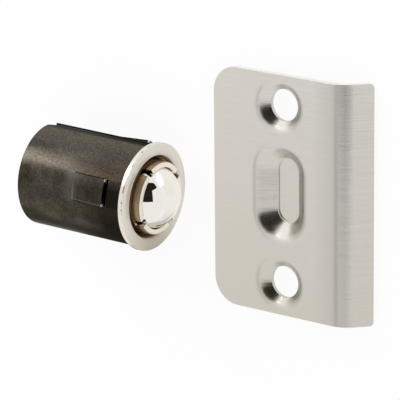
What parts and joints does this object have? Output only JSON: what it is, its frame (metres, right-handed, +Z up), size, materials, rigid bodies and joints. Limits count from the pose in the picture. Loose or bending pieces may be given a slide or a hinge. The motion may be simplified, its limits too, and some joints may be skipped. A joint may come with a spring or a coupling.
{
  "type": "ball catch",
  "caption": "Drive-in ball catch: sprung ball in a threaded cage inside a flanged, barbed barrel, with its dished full-lip strike plate.",
  "frame": {"origin": "on the surface the set lies on, below the middle of the box round both pieces", "axes": "+X across the strike from its free edge to its lip, +Y along the strike's long side, +Z up; the catch lies at -X with its ball towards +X"},
  "size_m": [0.0832, 0.0572, 0.0256],
  "materials": {
    "oxide_steel": "black oxide, oily, rolled",
    "bright_nickel": "bright nickel plate, finely turned",
    "polished_steel": "mirror polished",
    "plain_steel": "plain drawn steel",
    "satin_nickel": "satin nickel, brushed across its width"
  },
  "bodies": {
    "root": {"sleeve": "oxide_steel", "housing": "bright_nickel", "strike_plate": "satin_nickel"},
    "cartridge": {"spring_plug": "plain_steel", "spring": "plain_steel"},
    "cage": {"ball_cage": "bright_nickel"},
    "ball": {"ball": "polished_steel"}
  },
  "joints": [
    {"name": "cage_travel", "type": "slide", "parent": "root", "child": "cartridge", "axis": [0.999, -0.0384, 0.0238], "range_m": [-0.0015, 0.001]},
    {"name": "cage_turn", "type": "hinge", "parent": "cartridge", "child": "cage", "pos_m": [-0.01058, -0.0026, 0.01282], "axis": [0.999, -0.0384, 0.0238], "range_deg": [-541, 361]},
    {"name": "ball_press", "type": "slide", "parent": "cartridge", "child": "ball", "axis": [-0.999, 0.0384, -0.0238], "range_m": [0, 0.0042], "stiffness_N_per_m": 2000, "springref_m": -0.003, "deforming": ["spring"]}
  ],
  "couplings": [
    {"joint": "cage_turn", "follows": "cage_travel", "rad_per_m": 6283.2}
  ]
}
